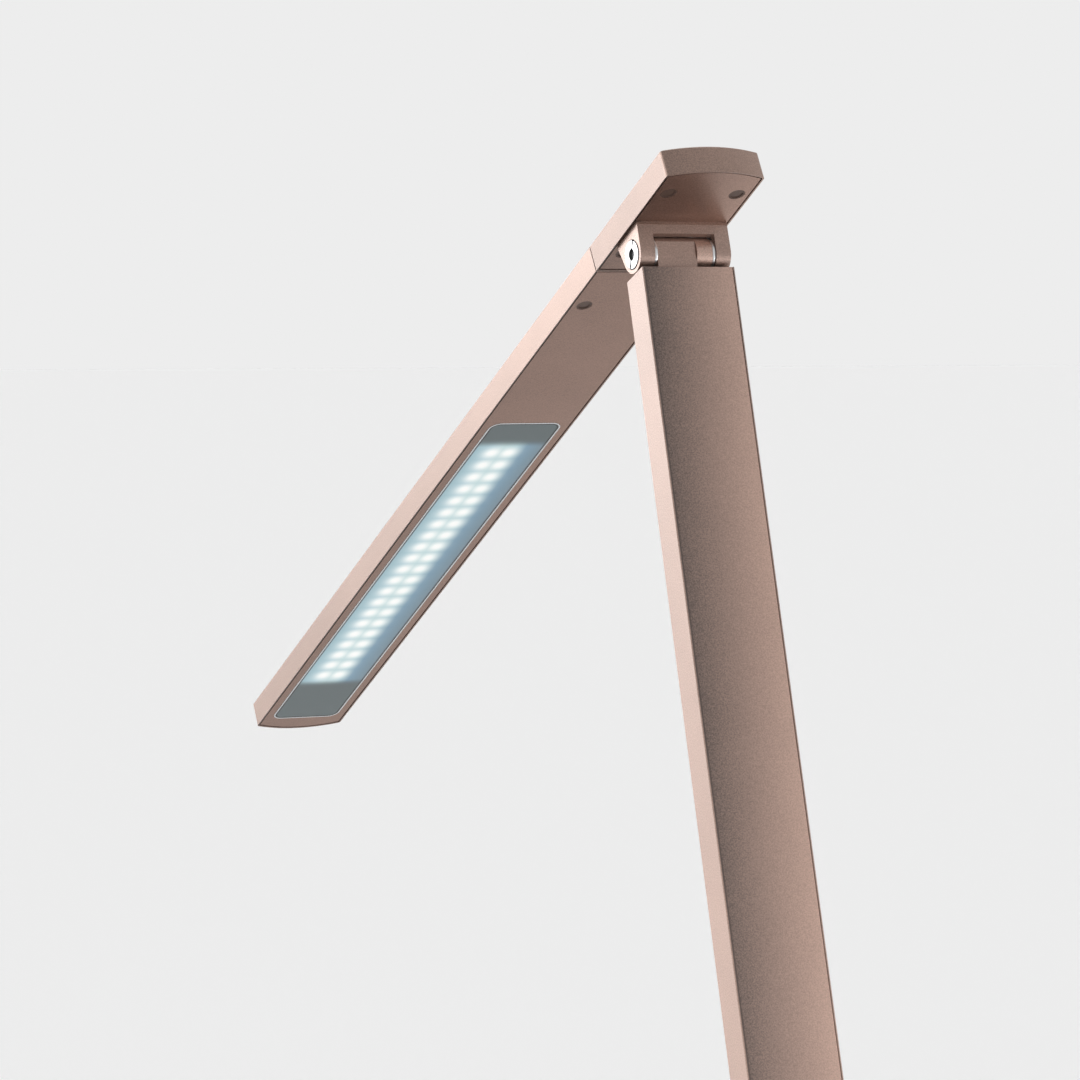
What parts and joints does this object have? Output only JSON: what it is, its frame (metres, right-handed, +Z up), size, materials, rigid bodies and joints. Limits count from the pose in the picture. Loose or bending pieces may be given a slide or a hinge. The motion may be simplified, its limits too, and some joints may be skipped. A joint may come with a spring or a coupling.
{
  "type": "led desk lamp",
  "caption": "Folding LED desk lamp: a flat light bar hinged on a flat stem, which is hinged on a heavy rectangular base.",
  "frame": {"origin": "middle of the base pad's resting face, on the desk", "axes": "+Z up; the light bar points toward -Y; the hinge pins lie along X"},
  "size_m": [0.19, 0.55, 0.503],
  "materials": {
    "rose_paint": "satin metallic rose bronze paint with a fine flake",
    "rose_cover": "satin metallic rose bronze, a shade darker",
    "lens": "frosted acrylic",
    "bright_trim": "polished trim",
    "reflector": "white",
    "board_white": "white solder mask",
    "led": "LED package with phosphor",
    "aluminium": "bare",
    "steel": "zinc plated",
    "plug": "soft plug, rose brown",
    "wire": "insulated lead",
    "rose_casting": "satin rose bronze on a casting",
    "nylon": "black nylon",
    "weight": "phosphated steel",
    "dark_plastic": "textured",
    "soft_pad": "silicone",
    "pcb": "green solder mask"
  },
  "bodies": {
    "base": {"base_fork": "rose_casting", "fork_bolts": "steel", "base_cover": "rose_paint", "base_weight": "weight", "base_floor": "dark_plastic", "base_screws": "steel", "foot_pad": "soft_pad", "button_bezel": "bright_trim", "board_pad": "wire", "control_board": "pcb", "tact_switch": "dark_plastic", "power_socket": "dark_plastic", "lower_pin": "bright_trim", "lower_spring_washers": "steel", "lower_nut": "steel"},
    "stem": {"stem_channel": "rose_paint", "stem_back_panel": "rose_cover", "stem_caps": "nylon", "stem_lead": "wire", "stem_foot": "rose_casting", "foot_screws": "steel", "lower_washers": "bright_trim", "upper_washers": "bright_trim", "hinge_tongue": "rose_casting", "friction_barrel": "rose_casting", "tongue_screws": "steel"},
    "light_bar": {"head_housing": "rose_paint", "head_cover": "rose_cover", "lens_bezel": "bright_trim", "lens_diffuser": "lens", "reflector_frame": "reflector", "led_board": "board_white", "led_chips": "led", "heat_spreader": "aluminium", "shoulder_housing": "rose_paint", "shoulder_cover": "rose_cover", "spine_bar": "steel", "spine_screws": "steel", "head_screws": "steel", "shoulder_screws": "steel", "head_plugs": "plug", "shoulder_plugs": "plug", "bar_lead": "wire", "hinge_bracket": "rose_casting", "bracket_screws": "steel", "upper_pin": "bright_trim", "upper_spring_washers": "steel", "upper_nut": "steel"},
    "button": {"power_button": "bright_trim"}
  },
  "joints": [
    {"name": "stem_tilt", "type": "hinge", "parent": "base", "child": "stem", "pos_m": [0, 0.036, 0.032], "axis": [1, 0, 0], "range_deg": [-30, 20]},
    {"name": "bar_tilt", "type": "hinge", "parent": "stem", "child": "light_bar", "pos_m": [0, -0.08879, 0.46435], "axis": [1, 0, 0], "range_deg": [-75, 75]},
    {"name": "button_press", "type": "slide", "parent": "base", "child": "button", "axis": [0, 0, -1], "range_m": [0, 0.0012], "stiffness_N_per_m": 1500, "springref_m": -0.0005}
  ]
}
